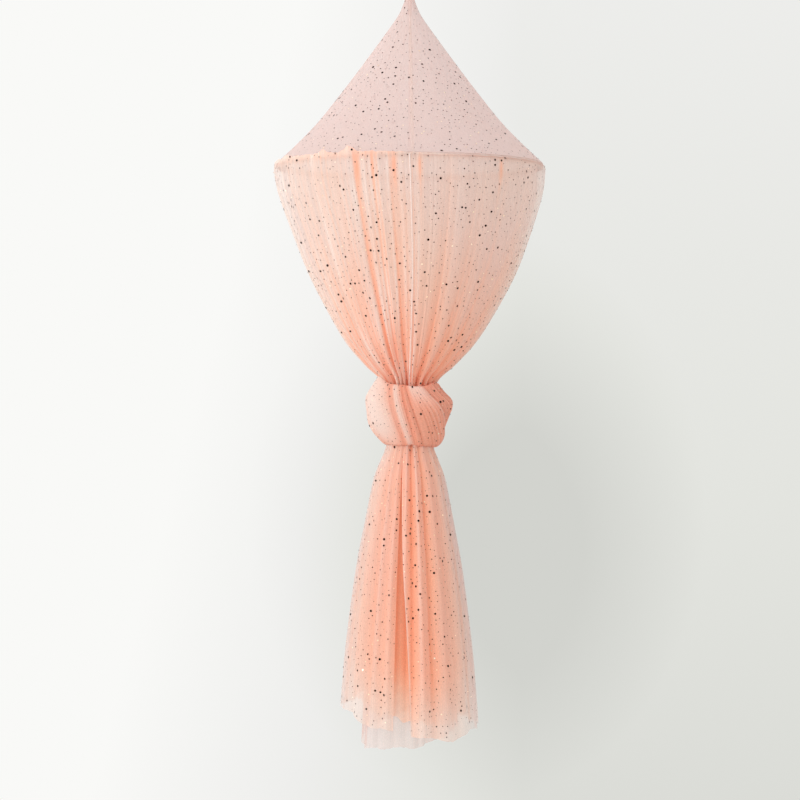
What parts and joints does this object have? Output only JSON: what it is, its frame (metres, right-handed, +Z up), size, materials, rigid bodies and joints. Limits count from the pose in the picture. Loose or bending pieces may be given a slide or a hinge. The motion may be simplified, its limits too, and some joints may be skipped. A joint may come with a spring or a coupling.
{
  "type": "bed crown canopy",
  "caption": "Sheer cloth canopy: a hollow conical roof on a round hoop, with a gathered curtain tied up in one overhand knot, hung by a ring.",
  "frame": {"origin": "point inside the bow of the hanging ring where the ceiling hook bears", "axes": "+Z up along the canopy's middle, +X to the right as seen from the front, the front faces -Y"},
  "size_m": [0.6518, 0.6512, 1.8308],
  "materials": {
    "roof_tulle": "sheer tulle with foil dots",
    "curtain_tulle": "layered sheer tulle with foil dots",
    "lining_tulle": "plain sheer tulle",
    "binding": "woven binding",
    "woven_tape": "woven tape",
    "hoop_plastic": "drawn rod",
    "ferrule_metal": "satin",
    "ring_steel": "plated wire"
  },
  "bodies": {
    "hanger": {"hanging_ring": "ring_steel"},
    "canopy": {"hanging_tape": "woven_tape", "hoop_sleeve": "binding", "knot_wrap": "curtain_tulle", "roof_gore_back_right": "roof_tulle", "roof_gore_back_left": "roof_tulle", "roof_gore_front_left": "roof_tulle", "roof_gore_front_right": "roof_tulle", "hoop_rod_back_right": "hoop_plastic", "hoop_rod_back_left": "hoop_plastic", "hoop_rod_front_left": "hoop_plastic", "hoop_rod_front_right": "hoop_plastic", "hoop_ferrule_right": "ferrule_metal", "hoop_ferrule_back": "ferrule_metal", "hoop_ferrule_left": "ferrule_metal", "hoop_ferrule_front": "ferrule_metal", "curtain_panel_back_right": "curtain_tulle", "curtain_panel_back_left": "curtain_tulle", "curtain_panel_front_left": "curtain_tulle", "curtain_panel_front_right": "curtain_tulle", "tail_panel_back_right": "curtain_tulle", "tail_panel_back_left": "curtain_tulle", "tail_panel_front_left": "curtain_tulle", "tail_panel_front_right": "curtain_tulle", "lining_upper_back_right": "lining_tulle", "lining_upper_back_left": "lining_tulle", "lining_upper_front_left": "lining_tulle", "lining_upper_front_right": "lining_tulle", "lining_lower_back_right": "lining_tulle", "lining_lower_back_left": "lining_tulle", "lining_lower_front_left": "lining_tulle", "lining_lower_front_right": "lining_tulle"}
  },
  "joints": [
    {"name": "canopy_swing", "type": "hinge", "parent": "hanger", "child": "canopy", "pos_m": [0, 0, -0.012], "axis": [1, 0, 0], "range_deg": [-40, 40]}
  ]
}
